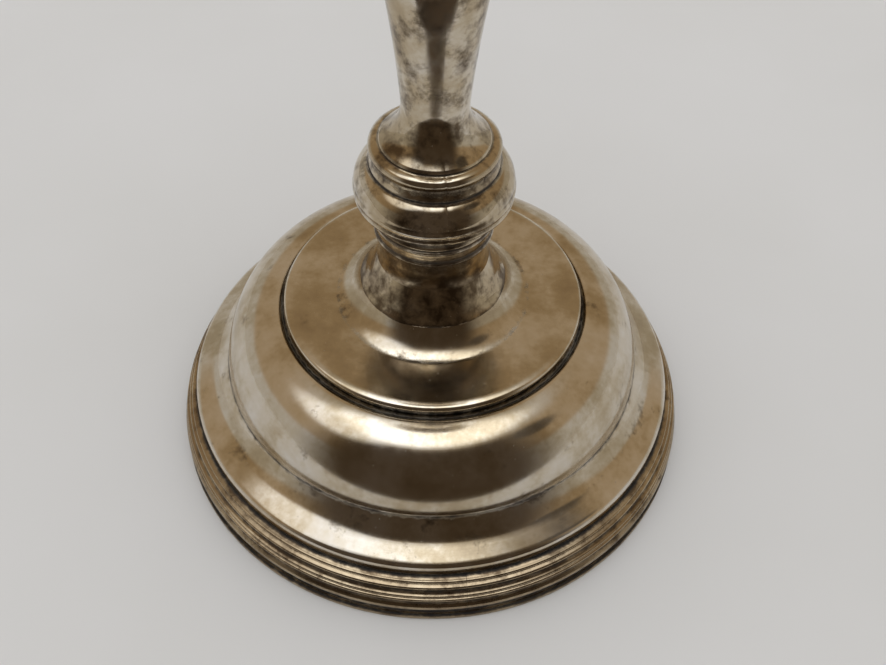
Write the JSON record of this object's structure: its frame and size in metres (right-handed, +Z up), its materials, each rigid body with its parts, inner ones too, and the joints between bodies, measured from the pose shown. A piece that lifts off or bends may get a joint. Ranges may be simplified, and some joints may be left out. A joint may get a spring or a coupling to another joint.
{
  "type": "altar candlestick",
  "caption": "Silvered altar candlestick with a stepped round foot, reeded rim, knopped baluster stem and a lift-out nozzle with a drip pan.",
  "frame": {"origin": "on the candlestick's axis, in the plane that the foot stands on", "axes": "+Z up along the axis; the front of the pictured side is -Y"},
  "size_m": [0.17, 0.17, 0.3123],
  "materials": {
    "silver_plate": "worn silver plate on brass, dark tarnish in the mouldings",
    "raw_brass": "unplated turned brass, dull",
    "bright_steel": "zinc-plated steel fasteners",
    "black_steel": "black japanned sheet steel",
    "cast_iron": "rough sand-cast iron",
    "baize": "green wool baize"
  },
  "bodies": {
    "stand": {"base_ring": "silver_plate", "foot_rim": "silver_plate", "foot_dome": "silver_plate", "top_plate": "silver_plate", "stem_foot": "silver_plate", "neck_piece": "silver_plate", "stem_half_left": "silver_plate", "stem_half_right": "silver_plate", "shoulder_collar": "silver_plate", "upper_knop": "silver_plate", "capital": "silver_plate", "shaft_bush": "raw_brass", "socket_tube": "raw_brass", "tie_rod": "bright_steel", "top_washer": "bright_steel", "top_nut": "bright_steel", "bottom_washer": "bright_steel", "spring_washer": "bright_steel", "bottom_nut": "bright_steel", "spreader": "black_steel", "base_plate": "black_steel", "ballast_weight": "cast_iron", "felt_pad": "baize"},
    "nozzle": {"nozzle_sleeve": "silver_plate", "drip_pan": "silver_plate", "pan_wire": "silver_plate"}
  },
  "joints": [
    {"name": "nozzle_lift", "type": "slide", "parent": "stand", "child": "nozzle", "axis": [0, 0, 1], "range_m": [0, 0.04]}
  ]
}
